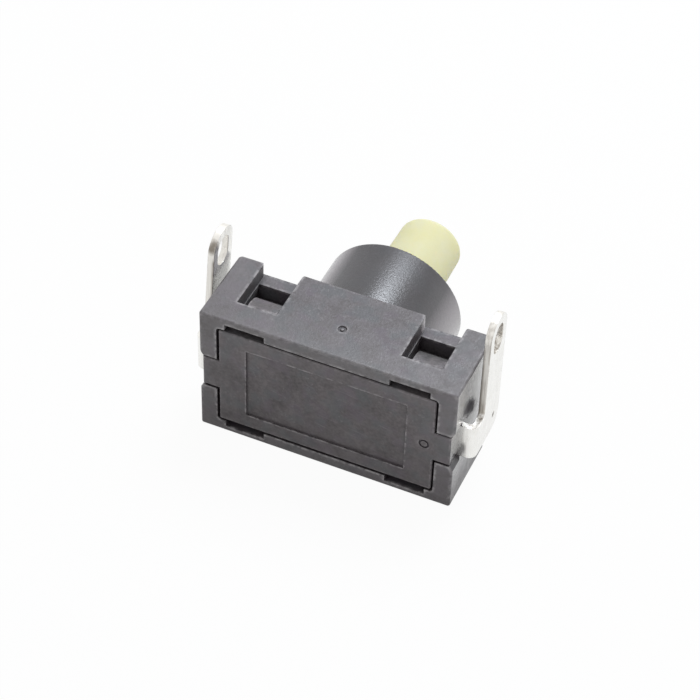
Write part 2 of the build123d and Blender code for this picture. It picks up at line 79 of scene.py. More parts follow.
PROBES = 6                         # rays that each look round a point takes
CLOUD_SHARE = 0.6
SPECKLE_SHARE = 0.55
BLOOM_SHARE = 0.6
BLOOMS_PER_MM = (0.5, 0.37)
EDGE_WEAR_AND_HIGHLIGHT = 1.25                  # worn edges, with a highlight painted on them, against rubbed faces
SKIN_PATCHES = (0.1, 0.12)         # how much smoother and rougher than the rest some patches are
SCUFFS = (((0.9, 0.3, 0.0), 0.4), ((0.2, 1.4, 0.5), 0.5))    # angles, and patches to a millimetre
SCUFFS_PER_MM = 3.0
LIT_ENDS_MM = (8.0, 17.0)         # out along the length, where painted light makes the ends paler
LIT_ENDS_HEIGHT_MM = (-8.0, 3.0)
LIT_ENDS_SHARE = 0.45
LIT_UPPER_FRONT_MM = (-4.0, -10.5)     # painted light over the upper face, towards the front
LIT_UPPER_HEIGHT_MM = (3.0, 8.0)
LIT_UPPER_SHARE = 0.3
LOW_SHADE_MM = (4.0, -9.0)          # painted shade, darker down over the front and the end faces
# the black of the shade painted in corners and over the lower faces
PAINTED_SHADE_BLACK = (56, 50, 53)
SHADE_REACH_MM = 1.0
SHADE_DEPTH = (0.9, 0.45)          # share of open space round a point, where painted shade starts and is full
WORN_AND_LIT_DEPTH = (0.92, 0.65)          # share of material round a point, where edge wear and its painted highlight start and are full
SPOT_RAGGED = 0.2
SPOT_CORE = 0.45                   # share of a spot's radius inside which it is full

END_FACE_ROUGHNESS = 0.14
END_FACE_GLOSS = (0.25, 1.0)       # at the foot of an end face, and from half its height up
END_FACE_HEIGHT_MM = (-7.0, 0.0)
END_FACE_TURN = (0.9, 0.99)        # how squarely it faces outwards
PAINTED_DARK = (34, 25, 38)        # a dark reflection painted on the right end face
DARK_REFLECTION_PLACE = (16.12, -6.7, 3.7)
DARK_REFLECTION_MM = 1.5                    # its radius, as for every spot below
DARK_REFLECTION_WAY = (0.0, 0.8, -0.6)
DARK_REFLECTION_STRETCH = 2.2

BUSHING_BLACK = (58, 57, 60)
BUSHING_SHARE = (0.8, 0.3)         # of that black, along the middle and on the flanks, where a pale reflection is painted
BUSHING_ROOT_MM = (0.05, 0.3)      # where the grained body ends and the polished bushing starts
BUSHING_LENGTH_MM = 9.5
BUSHING_ROUGHNESS = (0.26, 0.4)    # at the root and at the rim
DRAG_LINES = (-0.03, 0.05)         # how far they smooth and roughen it
BUSHING_COAT = (0.25, 0.0)
BUSHING_COAT_FLANK_MM = (5.0, 8.4)
# a reflection painted pale on both flanks of the bushing
FLANK_REFLECTION_PALE = (146, 138, 142)
FLANK_REFLECTION_SHARE = 0.9
RIGHT_FLANK_REFLECTION_MM = (6.9, 8.7)
LEFT_FLANK_REFLECTION_MM = (-4.6, -6.8)
SMOOTH_GRAIN = 0.7                 # what the polish leaves of the grain
COAT_ROUGHNESS = 0.12
COAT_IOR = 1.68

GLINT_PLACE = (7.8, -0.1, 8.3)   # where a glint is painted, on the corner of the neck beside the right-hand notch
GLINT_MM = 1.5
GLINT_STRETCH = 1.6
GLINT_TURN = (0.15, 0.45)  # how far a face has to turn to the right, to take it
PAINTED_GLINT = (236, 231, 234)
GATE_MARK = (0.0, -6.45, 9.12)     # the round trace of the moulding gate
GATE_RING_MM = 0.385
GATE_RING_WIDTH_MM = 0.33
# shade painted in the groove of the gate's ring
GATE_SHADE = 0.25


def linear(colour):
    """A colour written in screen values from 0 to 255, as the light values that a shader takes."""
    shares = [value / 255 for value in colour]
    return [s / 12.92 if s < 0.04045 else ((s + 0.055) / 1.055) ** 2.4 for s in shares] + [1.0]


def add(tree, kind, inputs=None, **settings):
    """A shader node with its settings. Each input takes a number, a colour or another node's output."""
    made = tree.nodes.new("ShaderNode" + kind)
    for key, value in settings.items():
        setattr(made, key, value)
    for key, value in (inputs or {}).items():
        if isinstance(value, bpy.types.NodeSocket):
            tree.links.new(value, made.inputs[key])
        else:
            made.inputs[key].default_value = value
    return made


def blank_material(name):
    """A new material, its shader, and its points in millimetres, which move with the piece."""
    material = bpy.data.materials.new(name)
    material.use_nodes = True
    tree = material.node_tree
    place = add(tree, "TexCoord").outputs["Object"]
    points = add(tree, "VectorMath", {0: place, "Scale": 1000.0}, operation="SCALE").outputs[0]
    return material, tree, tree.nodes["Principled BSDF"], points


def math_node(tree, operation, first, second=0.0):
    """The result of one sum on two values."""
    return add(tree, "Math", {0: first, 1: second}, operation=operation).outputs[0]


def times(tree, first, second):
    """Both values multiplied."""
    return math_node(tree, "MULTIPLY", first, second)


def larger(tree, first, second):
    """The larger of two values."""
    return math_node(tree, "MAXIMUM", first, second)


def size_of(tree, value):
    """The value without its sign."""
    return math_node(tree, "ABSOLUTE", value)


def ramp(tree, value, start, end, low=0.0, high=1.0):
    """A value between start and end, spread from low to high and held there outside."""
    return add(tree, "MapRange", {"Value": value, 1: start, 2: end, 3: low, 4: high}).outputs[0]


def by_axis(tree, vector):
    """The three numbers of a vector, under X, Y and Z."""
    return add(tree, "SeparateXYZ", {0: vector}).outputs


def facing_way(tree):
    """The way that the surface faces, under X, Y and Z."""
    return by_axis(tree, add(tree, "NewGeometry").outputs["Normal"])


def clouds(tree, points, per_mm, low=0.0, high=1.0, detail=2.0, stretch=(1, 1, 1),
           narrow=(0.3, 0.7)):
    """Soft noise of so many lumps to a millimetre, spread from low to high."""
    spread = add(tree, "VectorMath", {0: points, 1: stretch}, operation="MULTIPLY").outputs[0]
    noise = add(tree, "TexNoise", {"Vector": spread, "Scale": per_mm, "Detail": detail})
    return ramp(tree, noise.outputs[0], *narrow, low, high)


def blend_colours(tree, share, first, second):
    """The first colour turning into the second as the share goes from 0 to 1."""
    return add(tree, "Mix", {0: share, 6: first, 7: second}, data_type="RGBA").outputs[2]


def blend_values(tree, share, first, second):
    """The first value turning into the second as the share goes from 0 to 1."""
    return add(tree, "Mix", {0: share, 2: first, 3: second}, data_type="FLOAT").outputs[0]


def relief(tree, height, depth_um, normal):
    """The node that raises the surface by a height from 0 to 1, over this depth."""
    return add(tree, "Bump", {
        "Height": height, "Distance": depth_um / 1e6, "Strength": 1.0, "Normal": normal})


def soft_edges(tree, points, radius_mm):
    """The normal with its sharp edges rounded unevenly, by about this radius."""
    radius = clouds(tree, points, per_mm=1.8, low=0.2 * radius_mm / 1000,
                    high=1.8 * radius_mm / 1000, detail=3.0)
    return add(tree, "Bevel", {"Radius": radius}, samples=PROBES).outputs[0]


def edge_wear_and_highlight(tree, points, reach_mm):
    """1 in patches along the outer edges, which are worn and carry a painted highlight, and 0 on a
    face.
    """
    inside = add(tree, "AmbientOcclusion", {"Distance": reach_mm / 1000}, samples=PROBES,
                 inside=True, only_local=True)
    level = ramp(tree, inside.outputs["AO"], *WORN_AND_LIT_DEPTH)
    patches = clouds(tree, points, per_mm=1.6, detail=4.0, narrow=(0.4, 0.6))
    return times(tree, level, patches)


def scuffs(tree, points, turn, per_mm, patch_per_mm):
    """Faint short scratches that run one way, turned by three angles, and gathered in patches."""
    turned = add(tree, "VectorRotate", {"Vector": points, "Rotation": turn},
                 rotation_type="EULER_XYZ").outputs[0]
    lines = clouds(tree, turned, per_mm=per_mm, stretch=(1.0, 1.0, 0.06), narrow=(0.6, 0.68))
    patch = clouds(tree, points, per_mm=patch_per_mm, narrow=(0.48, 0.62))
    return times(tree, lines, patch)


def flecks(tree, points, per_mm, size, patch_per_mm):
    """Small round specks, 1 inside and 0 outside, gathered in patches."""
    dots = add(tree, "TexVoronoi", {"Vector": points, "Scale": per_mm, "Randomness": 1.0})
    speck = ramp(tree, dots.outputs["Distance"], size, size * 0.4)
    patch = clouds(tree, points, per_mm=patch_per_mm, narrow=(0.5, 0.6))
    return times(tree, speck, patch)


def moulded_plastic(name, colour, cloud, rubbed_and_lit, roughness, edge_mm, grain_um, fleck_share=0.5,
                    sheen=0.5, corner_shade=0.95, blooms=(), low_shade=0.0):
    """Matt moulding with a fine grain, cloudy speckled colour, pale flecks and worn edges. Light is
    painted on its ends, upper faces and edges, and shade low down and in corners.
    """
    material, tree, shader, points = blank_material(name)
    where = by_axis(tree, points)
    worn_and_lit_edges = edge_wear_and_highlight(tree, points, 3 * edge_mm)
    soft = soft_edges(tree, points, edge_mm)

    # The colour of the moulding, uneven in itself
    wide = clouds(tree, points, per_mm=0.32, high=1.1, detail=3.0)
    speckle = clouds(tree, points, per_mm=2.4, high=SPECKLE_SHARE, detail=4.0, narrow=(0.35, 0.68))
    uneven = math_node(tree, "ADD", times(tree, wide, CLOUD_SHARE), speckle)
    body = blend_colours(tree, uneven, linear(colour), linear(cloud))
    for bloom, per_mm in zip(blooms, BLOOMS_PER_MM):
        patch = clouds(tree, points, per_mm=per_mm, high=BLOOM_SHARE, detail=3.0, narrow=(0.5, 0.62))
        body = blend_colours(tree, patch, body, linear(bloom))

    # Pale flecks and scuffs, light painted on the ends, the upper faces and the edges, edge wear, and
    # shade painted low down and in corners
    marks = flecks(tree, points, per_mm=1.5, size=0.16, patch_per_mm=0.5)
    for turn, patch_per_mm in SCUFFS:
        marks = larger(tree, marks, scuffs(tree, points, turn, SCUFFS_PER_MM, patch_per_mm))
    # Painted light: paler towards both ends and upwards
    held = ramp(tree, size_of(tree, where["X"]), *LIT_ENDS_MM, 0.0, LIT_ENDS_SHARE)
    held = times(tree, held, clouds(tree, points, per_mm=0.5, low=0.5, high=1.0, detail=3.0))
    held = times(tree, held, ramp(tree, where["Z"], *LIT_ENDS_HEIGHT_MM))
    # Painted light over the upper faces, towards the front
    upper = times(tree, ramp(tree, where["Y"], *LIT_UPPER_FRONT_MM, 0.0, LIT_UPPER_SHARE),
                  ramp(tree, where["Z"], *LIT_UPPER_HEIGHT_MM))
    pale = larger(tree, times(tree, marks, fleck_share), larger(tree, held, upper))
    # flecks and scuffs in the rubbed colour, and the painted light in the same colour
    body = blend_colours(tree, pale, body, linear(rubbed_and_lit))
    # Painted shade, darker towards the bottom
    low_down = ramp(tree, where["Z"], *LOW_SHADE_MM, 0.0, low_shade)
    body = blend_colours(tree, low_down, body, linear(PAINTED_SHADE_BLACK))
    # edge wear, with a highlight painted along the edges
    body = blend_colours(tree, worn_and_lit_edges, body, linear([value * EDGE_WEAR_AND_HIGHLIGHT for value in rubbed_and_lit]))
    # Painted shade: darker in corners and recesses, where little open space is round a point
    open_share = add(tree, "AmbientOcclusion", {"Distance": SHADE_REACH_MM / 1000}, samples=PROBES)
    corners = ramp(tree, open_share.outputs["AO"], *SHADE_DEPTH, 0.0, corner_shade)
    body = blend_colours(tree, corners, body, linear(PAINTED_SHADE_BLACK))
    tree.links.new(body, shader.inputs["Base Color"])

    glossier, duller = SKIN_PATCHES
    patchy = clouds(tree, points, per_mm=0.9, low=roughness - glossier, high=roughness + duller,
                    detail=4.0)
    tree.links.new(patchy, shader.inputs["Roughness"])
    lumps = clouds(tree, points, per_mm=3.2)
    fine = clouds(tree, points, per_mm=8.0, high=0.8, detail=3.0)
    grain = relief(tree, math_node(tree, "ADD", lumps, fine), grain_um, soft)
    tree.links.new(grain.outputs[0], shader.inputs["Normal"])
    shader.inputs["Specular IOR Level"].default_value = sheen
    return material, tree, shader, points, patchy, grain


def spot(tree, points, centre_mm, radius_mm, way=(0, 0, 1), stretch=1.0):
    """1 at a place on the piece, fading to 0 at the radius, which is stretched along one way."""
    away = add(tree, "VectorMath", {0: points, 1: centre_mm}, operation="SUBTRACT").outputs[0]
    along = add(tree, "VectorMath", {0: away, 1: way}, operation="DOT_PRODUCT").outputs["Value"]
    excess = times(tree, along, 1.0 - 1.0 / stretch)
    shift = add(tree, "VectorMath", {0: way, "Scale": excess}, operation="SCALE").outputs[0]
    away = add(tree, "VectorMath", {0: away, 1: shift}, operation="DISTANCE").outputs["Value"]
    ragged = clouds(tree, points, per_mm=1.2, low=-SPOT_RAGGED * radius_mm,
                    high=SPOT_RAGGED * radius_mm, detail=3.0)
    away = math_node(tree, "ADD", away, ragged)
    return ramp(tree, away, radius_mm, radius_mm * SPOT_CORE)


def ring_of_shade(tree, points, centre_mm, radius_mm, width_mm):
    """1 along a small round groove, where shade is painted, and 0 away from it."""
    away = add(tree, "VectorMath", {0: points, 1: centre_mm}, operation="DISTANCE").outputs["Value"]
    off_line = size_of(tree, math_node(tree, "SUBTRACT", away, radius_mm))
    return ramp(tree, off_line, width_mm / 2, width_mm / 5)


def polished_ends(tree, points, end_x_mm):
    """Two values that are 0 off the end faces. On them, one is 1 and the other is their gloss."""
    where = by_axis(tree, points)
    at_end = ramp(tree, size_of(tree, where["X"]), end_x_mm - 0.1, end_x_mm - 0.02)
    flat = ramp(tree, size_of(tree, facing_way(tree)["X"]), *END_FACE_TURN)
    on_end = times(tree, at_end, flat)
    return on_end, times(tree, on_end, ramp(tree, where["Z"], *END_FACE_HEIGHT_MM, *END_FACE_GLOSS))


def finish_node(name, material):
    """A CAD solid takes this material in all its slots."""
    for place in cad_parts[name].material_slots:
        place.material = material


housing_plastic, tree, shader, points, matt, grain = moulded_plastic(
    "housing_plastic", HOUSING_BLACK, HOUSING_CLOUD, HOUSING_RUBBED_AND_LIT, HOUSING_ROUGHNESS,
    HOUSING_EDGE_MM, NYLON_GRAIN_UM, sheen=NYLON_SHEEN, blooms=NYLON_BLOOMS, low_shade=HOUSING_LOW_SHADE)
where = by_axis(tree, points)
on_bushing = ramp(tree, where["Y"], *BUSHING_ROOT_MM)
on_end, end_gloss = polished_ends(tree, points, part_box("housing")[1].x * 1000)
# a dark reflection painted on the right end face, where the gloss is taken away too
dark_reflection = spot(tree, points, DARK_REFLECTION_PLACE, DARK_REFLECTION_MM, DARK_REFLECTION_WAY, DARK_REFLECTION_STRETCH)
end_gloss = times(tree, end_gloss, math_node(tree, "SUBTRACT", 1.0, dark_reflection))

# The polish: faint drag lines along the bushing, and end faces that are glossy outside the painted dark
# reflection
drag_lines = clouds(tree, points, 4.0, *DRAG_LINES, detail=4.0, stretch=(1.0, 0.25, 1.0))
polished = ramp(tree, where["Y"], 0.0, BUSHING_LENGTH_MM, *BUSHING_ROUGHNESS)
rough = blend_values(tree, on_bushing, matt, math_node(tree, "ADD", drag_lines, polished))
rough = blend_values(tree, end_gloss, rough, END_FACE_ROUGHNESS)
tree.links.new(rough, shader.inputs["Roughness"])
tree.links.new(ramp(tree, larger(tree, on_bushing, on_end), 0.0, 1.0, 1.0, SMOOTH_GRAIN),
               grain.inputs["Strength"])
flanks = ramp(tree, size_of(tree, where["X"]), *BUSHING_COAT_FLANK_MM)
shine = larger(tree, ramp(tree, where["Y"], 0.0, BUSHING_LENGTH_MM, *BUSHING_COAT), flanks)
tree.links.new(larger(tree, end_gloss, times(tree, on_bushing, shine)), shader.inputs["Coat Weight"])
tree.links.new(grain.outputs[0], shader.inputs["Coat Normal"])
shader.inputs["Coat Roughness"].default_value = COAT_ROUGHNESS
shader.inputs["Coat IOR"].default_value = COAT_IOR

# The bushing's own black with a reflection painted pale on its flanks, then a glint painted on the
# neck's corner, shade painted in the ring of the gate's trace, and the dark reflection on the end face
body = shader.inputs["Base Color"].links[0].from_socket
# where the pale reflection is painted on the bushing's flanks
flank_reflection = larger(tree, ramp(tree, where["X"], *RIGHT_FLANK_REFLECTION_MM), ramp(tree, where["X"], *LEFT_FLANK_REFLECTION_MM))
blacker = times(tree, on_bushing, ramp(tree, flank_reflection, 0.0, 1.0, *BUSHING_SHARE))
# a glint painted on the neck's corner beside the right-hand notch
corner = spot(tree, points, GLINT_PLACE, GLINT_MM, (0.0, 0.0, 1.0), GLINT_STRETCH)
corner = times(tree, corner, ramp(tree, facing_way(tree)["X"], *GLINT_TURN))
gate_shade = ring_of_shade(tree, points, GATE_MARK, GATE_RING_MM, GATE_RING_WIDTH_MM)
for share, colour in ((blacker, BUSHING_BLACK),
                      (times(tree, times(tree, on_bushing, flank_reflection), FLANK_REFLECTION_SHARE), FLANK_REFLECTION_PALE),
                      (corner, PAINTED_GLINT),
                      (times(tree, gate_shade, GATE_SHADE), PAINTED_DARK),
                      (dark_reflection, PAINTED_DARK)):
    body = blend_colours(tree, share, body, linear(colour))
tree.links.new(body, shader.inputs["Base Color"])
finish_node("housing", housing_plastic)

# ---------------------------------------------------------------- base cover
# The lid over the contacts, moulded in a second black nylon that is a shade browner. Four hooks on
# its back snap behind the lips of the housing, and its two ears hold the terminals in their slots.
COVER_BLACK = (57, 52, 53)
COVER_CLOUD = (102, 95, 97)
COVER_RUBBED_AND_LIT = (124, 119, 121)
COVER_ROUGHNESS = 0.5
COVER_EDGE_MM = 0.1
# how dark the painted shade on the lower faces gets
COVER_LOW_SHADE = 0.45
EAR_COAT = 0.5                     # the ears are half as glossy as the end faces they lie in
PIN_MARK = (12.45, -10.95, 0.0)    # the round trace of an ejector pin
PIN_RING_MM = 0.525
PIN_RING_WIDTH_MM = 0.34
# shade painted in the groove of the pin's ring
PIN_SHADE = 0.7
HOOK_SHADE_BLACK = (30, 28, 30)        # painted shade on the upper right-hand hook
SHADED_HOOK = (10.4, -4.9, 8.0)
SHADED_HOOK_MM = 2.9
HOOK_SHADE_STRETCH = 1.8

cover_plastic, tree, shader, points, matt = moulded_plastic(
    "cover_plastic", COVER_BLACK, COVER_CLOUD, COVER_RUBBED_AND_LIT, COVER_ROUGHNESS,
    COVER_EDGE_MM, NYLON_GRAIN_UM, sheen=NYLON_SHEEN, blooms=NYLON_BLOOMS, low_shade=COVER_LOW_SHADE)[:5]
end_gloss = polished_ends(tree, points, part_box("base_cover")[1].x * 1000)[1]
tree.links.new(blend_values(tree, end_gloss, matt, END_FACE_ROUGHNESS), shader.inputs["Roughness"])
tree.links.new(times(tree, end_gloss, EAR_COAT), shader.inputs["Coat Weight"])
body = shader.inputs["Base Color"].links[0].from_socket
# shade painted in the groove of the pin's ring
pin_shade = times(tree, ring_of_shade(tree, points, PIN_MARK, PIN_RING_MM, PIN_RING_WIDTH_MM), PIN_SHADE)
body = blend_colours(tree, pin_shade, body, linear(PAINTED_DARK))
# shade painted on the upper right-hand hook
hook_shade = spot(tree, points, SHADED_HOOK, SHADED_HOOK_MM, (1.0, 0.0, 0.0), HOOK_SHADE_STRETCH)
body = blend_colours(tree, hook_shade, body, linear(HOOK_SHADE_BLACK))
tree.links.new(body, shader.inputs["Base Color"])
finish_node("base_cover", cover_plastic)

# ---------------------------------------------------------------- push button
# The round button, moulded in cream urea and polished. Light goes a little way into it, and a
# highlight is painted pale along its edges. It is pressed on the slider's spigot.
BUTTON_CREAM = (233, 229, 180)
BUTTON_PALE = (235, 232, 200)
BUTTON_CLOUD_SHARE = 0.8
BUTTON_ROUGHNESS = (0.58, 0.68)
BUTTON_SKIN_UM = 2
BUTTON_EDGE_MM = 0.25
# how far in from the edges the painted highlight reaches
BUTTON_EDGE_HIGHLIGHT_MM = 1.0
BUTTON_SHEEN = 0.3
BUTTON_GLOW = 0.65                 # share of the light that passes through its skin
BUTTON_GLOW_REACH = (1.0, 0.9, 0.6)    # of red, green and blue light
BUTTON_GLOW_DEPTH = 0.002          # how far it goes in, in metres

button_plastic, tree, shader, points = blank_material("button_plastic")
uneven = clouds(tree, points, per_mm=0.3, high=BUTTON_CLOUD_SHARE, detail=3.0)
cream = blend_colours(tree, uneven, linear(BUTTON_CREAM), linear(BUTTON_PALE))
# a highlight painted pale along the edges
cream = blend_colours(tree, edge_wear_and_highlight(tree, points, BUTTON_EDGE_HIGHLIGHT_MM), cream, linear(BUTTON_PALE))
tree.links.new(cream, shader.inputs["Base Color"])
tree.links.new(clouds(tree, points, 0.9, *BUTTON_ROUGHNESS, detail=3.0), shader.inputs["Roughness"])
ripples = clouds(tree, points, per_mm=3.0, detail=3.0)
skin = relief(tree, ripples, BUTTON_SKIN_UM, soft_edges(tree, points, BUTTON_EDGE_MM))
tree.links.new(skin.outputs[0], shader.inputs["Normal"])
shader.inputs["Specular IOR Level"].default_value = BUTTON_SHEEN
shader.inputs["Subsurface Weight"].default_value = BUTTON_GLOW
shader.inputs["Subsurface Radius"].default_value = BUTTON_GLOW_REACH
shader.inputs["Subsurface Scale"].default_value = BUTTON_GLOW_DEPTH
finish_node("push_button", button_plastic)

# ---------------------------------------------------------------- slider
# The carrier under the button, moulded in white acetal. It runs in the bushing with the heart groove
# of the latch in its lower flat, and holds the contact bridge on its stem.
SLIDER_WHITE = (226, 224, 214)
SLIDER_CLOUD = (214, 212, 200)
SLIDER_RUBBED_AND_LIT = (240, 239, 232)
SLIDER_ROUGHNESS = 0.38
SLIDER_EDGE_MM = 0.1
SLIDER_GRAIN_UM = 3
# how dark the shade painted in its corners gets
SLIDER_CORNER_SHADE = 0.1

slider_plastic = moulded_plastic(
    "slider_plastic", SLIDER_WHITE, SLIDER_CLOUD, SLIDER_RUBBED_AND_LIT, SLIDER_ROUGHNESS,
    SLIDER_EDGE_MM, SLIDER_GRAIN_UM, corner_shade=SLIDER_CORNER_SHADE)[0]
finish_node("slider", slider_plastic)

# ---------------------------------------------------------------- terminals
# Two brass strips, plated with bright tin, which carry the fixed contacts inside the switch. Each is
# blanked, which leaves a torn edge and a brown burr line, then bent round the end wall into a solder
# tab. It sits in a slot under the cover's ear.
TIN_BRIGHT = (252, 251, 248)
TIN_GREY = (238, 236, 231)
TIN_ROUGHNESS = 0.24
TIN_EDGE_MM = 0.12
PLATE_PATCHES = (0.06, 0.08)
DULL_SHARE = 0.6
ROLLING_SHARE = 0.3                # how far the rolling lines dull the strip
RIPPLE_UM = 20
STRIP_HALF_MM = 2.4                # half the width of the strip along the end wall
TAB_FOOT_MM = 0.4                  # over which the strip's face turns into the tab's edge
BLANKED_EDGE = (242, 239, 233)
BLANKED_ROUGHNESS = 0.4
FRONT_TURN = (-0.5, -0.7)          # how far a face has to be turned, to count as an edge
BACK_TURN = (0.5, 0.7)
TORN_EDGE_AND_SHADE = (140, 130, 119)
TORN_AND_SHADE_SHARE = 0.65
BETWEEN_TABS_MM = (-5.0, 5.0)      # a stretch that neither tab reaches, where left turns into right
TORN_AND_SHADE_BY_SIDE = (0.3, 1.25)         # little on the left-hand terminal, much on the right-hand one, where it adds painted shade
TORN_AND_SHADE_TIP_MM = (11.0, 15.0)         # and less towards the tip
TORN_AND_SHADE_AT_TIP = 0.4
TAB_INNER_MM = 17.08
TAB_FRONT_MM = -6.2
TAB_ROUND_MM = 13.5                # height where the tip starts to round off
LEFT_LEAN = math.sin(math.radians(3.5))
BURR_BROWN = (118, 107, 95)
BURR_MM = 0.3
BURR_SHARE = 0.8
BURR_FAINTEST = 0.55
# the brown of the stains, which also paints shade in the punched dimple
STAIN_AND_SHADE_BROWN = (104, 92, 78)
STAIN_AND_SHADE_SHARE = 0.8
PUNCH_SHADE = (17.88, -3.15, 0.0)
PUNCH_SHADE_MM = 0.5
SOLDER_STAIN = (-16.8, -5.7, 14.6)
SOLDER_STAIN_MM = 1.0


def plated_strip(name, bright, dull, roughness, edge_mm, line_um, stretch):
    """Rolled and plated strip: faint lines along the rolling, a soft ripple and rounded edges."""
    material, tree, shader, points = blank_material(name)
    lines = clouds(tree, points, per_mm=5.0, detail=3.0, stretch=stretch)
    stains = clouds(tree, points, per_mm=0.5, high=DULL_SHARE, detail=3.0)
    metal = blend_colours(tree, stains, linear(bright), linear(dull))
    metal = blend_colours(tree, times(tree, lines, ROLLING_SHARE), metal, linear(dull))
    tree.links.new(metal, shader.inputs["Base Color"])
    glossier, duller = PLATE_PATCHES
    patchy = clouds(tree, points, per_mm=1.5, low=roughness - glossier, high=roughness + duller,
                    detail=3.0, stretch=stretch)
    tree.links.new(patchy, shader.inputs["Roughness"])
    waves = clouds(tree, points, per_mm=0.35, detail=1.0)
    ripple = relief(tree, waves, RIPPLE_UM, soft_edges(tree, points, edge_mm))
    rolled = relief(tree, lines, line_um, ripple.outputs[0])
    tree.links.new(rolled.outputs[0], shader.inputs["Normal"])
    shader.inputs["Metallic"].default_value = 1.0
    return material, tree, shader, points, metal, patchy


tin_plate, tree, shader, points, metal, patchy = plated_strip(
    "tin_plate", TIN_BRIGHT, TIN_GREY, TIN_ROUGHNESS, TIN_EDGE_MM, line_um=1.0, stretch=(1, 1, 0.08))
where = by_axis(tree, points)
facing = facing_way(tree)

# The blanked edges: those of the tab face the front and the back, those of the strip up and down
above_leg = ramp(tree, where["Z"], STRIP_HALF_MM, STRIP_HALF_MM + TAB_FOOT_MM)
blanked = times(tree, above_leg, ramp(tree, facing["Y"], *FRONT_TURN))
blanked = larger(tree, blanked, ramp(tree, size_of(tree, facing["Z"]), *BACK_TURN))
blanked = larger(tree, blanked, ramp(tree, facing["Y"], *BACK_TURN))
# The torn part of the blanked edges, with painted shade added on the right-hand terminal
torn_and_shade = clouds(tree, points, per_mm=2.6, high=TORN_AND_SHADE_SHARE, detail=3.0, stretch=(1.0, 1.0, 0.06),
              narrow=(0.45, 0.65))
torn_and_shade = times(tree, torn_and_shade, ramp(tree, where["X"], *BETWEEN_TABS_MM, *TORN_AND_SHADE_BY_SIDE))
torn_and_shade = times(tree, torn_and_shade, ramp(tree, where["Z"], *TORN_AND_SHADE_TIP_MM, 1.0, TORN_AND_SHADE_AT_TIP))
metal = blend_colours(tree, blanked, metal,
                      blend_colours(tree, torn_and_shade, linear(BLANKED_EDGE), linear(TORN_EDGE_AND_SHADE)))

# The burr line along the tab's front inner corner. The left-hand tab leans, and its line with it.
risen = larger(tree, math_node(tree, "SUBTRACT", where["Z"], STRIP_HALF_MM), 0.0)
leant = times(tree, risen, ramp(tree, where["X"], *BETWEEN_TABS_MM, LEFT_LEAN, 0.0))
out = math_node(tree, "ADD", size_of(tree, where["X"]), leant)
beyond = larger(tree, math_node(tree, "SUBTRACT", out, TAB_INNER_MM),
                math_node(tree, "SUBTRACT", where["Y"], TAB_FRONT_MM))
burr = ramp(tree, beyond, BURR_MM, BURR_MM / 3, 0.0, BURR_SHARE)
below_tip = ramp(tree, where["Z"], TAB_ROUND_MM, TAB_ROUND_MM - 1)
burr = times(tree, burr, times(tree, above_leg, below_tip))
faint = clouds(tree, points, per_mm=1.2, low=BURR_FAINTEST, detail=3.0, stretch=(1, 1, 0.3))
burr = times(tree, burr, faint)
metal = blend_colours(tree, burr, metal, linear(BURR_BROWN))

# A stain with painted shade in the punched dimple of the right-hand tab, and a stain of flux at the tip
# of the left-hand one
stain_and_shade = larger(tree, spot(tree, points, PUNCH_SHADE, PUNCH_SHADE_MM),
               spot(tree, points, SOLDER_STAIN, SOLDER_STAIN_MM))
metal = blend_colours(tree, times(tree, stain_and_shade, STAIN_AND_SHADE_SHARE), metal, linear(STAIN_AND_SHADE_BROWN))
tree.links.new(metal, shader.inputs["Base Color"])
tree.links.new(blend_values(tree, blanked, patchy, BLANKED_ROUGHNESS), shader.inputs["Roughness"])
for side in ("right", "left"):
    finish_node(f"terminal_{side}", tin_plate)

# ---------------------------------------------------------------- contact bridge and contacts
# A blanked brass bridge slides on the stem, with a silver rivet in each arm. It meets the silver
# rivets of the two terminals when the button is pressed.
BRASS_BRIGHT = (226, 192, 120)
BRASS_DULL = (186, 148, 84)
SILVER_BRIGHT = (236, 234, 228)
SILVER_DULL = (196, 192, 184)
BRASS_ROUGHNESS = 0.3
SILVER_ROUGHNESS = 0.28
BRIDGE_EDGE_MM = 0.08

bridge_brass = plated_strip("bridge_brass", BRASS_BRIGHT, BRASS_DULL, BRASS_ROUGHNESS,
                            BRIDGE_EDGE_MM, line_um=1.5, stretch=(0.08, 1, 1))[0]
contact_silver = plated_strip("contact_silver", SILVER_BRIGHT, SILVER_DULL, SILVER_ROUGHNESS,
                              BRIDGE_EDGE_MM, line_um=0.8, stretch=(1, 1, 1))[0]
finish_node("contact_bridge", bridge_brass)
for side in ("right", "left"):
    finish_node(f"bridge_contact_{side}", contact_silver)
    finish_node(f"fixed_contact_{side}", contact_silver)

# ---------------------------------------------------------------- coil springs
# Two compression springs of drawn steel wire, with closed turns at both ends. The long one stands on
# the cover's post and returns the slider. The short one sits round the stem and presses the bridge on
# the contacts. Both shorten as the button goes down.
STEEL_BRIGHT = (196, 197, 200)
STEEL_DULL = (140, 141, 146)
STEEL_ROUGHNESS = 0.3
STEEL_EDGE_MM = 0.05
RETURN_WIRE = 0.00045              # thickness of the wire, in metres
RETURN_TURNS = 8
CONTACT_WIRE = 0.0005
CONTACT_TURNS = 3.5
CLOSED_TURNS = 0.75                # at each end
STEPS_PER_TURN = 36
WIRE_SIDES = 12

spring_steel = plated_strip("spring_steel", STEEL_BRIGHT, STEEL_DULL, STEEL_ROUGHNESS, STEEL_EDGE_MM,
                            line_um=1.0, stretch=(1, 1, 1))[0]


def coil_height(turn, turns, wire, length):
    """How far the wire has climbed after so many turns: touching at the ends, open between them."""
    climb = length - wire
    open_pitch = (climb - 2 * CLOSED_TURNS * wire) / (turns - 2 * CLOSED_TURNS)
    opened = min(max(turn - CLOSED_TURNS, 0.0), turns - 2 * CLOSED_TURNS)
    return wire / 2 + (turn - opened) * wire + opened * open_pitch


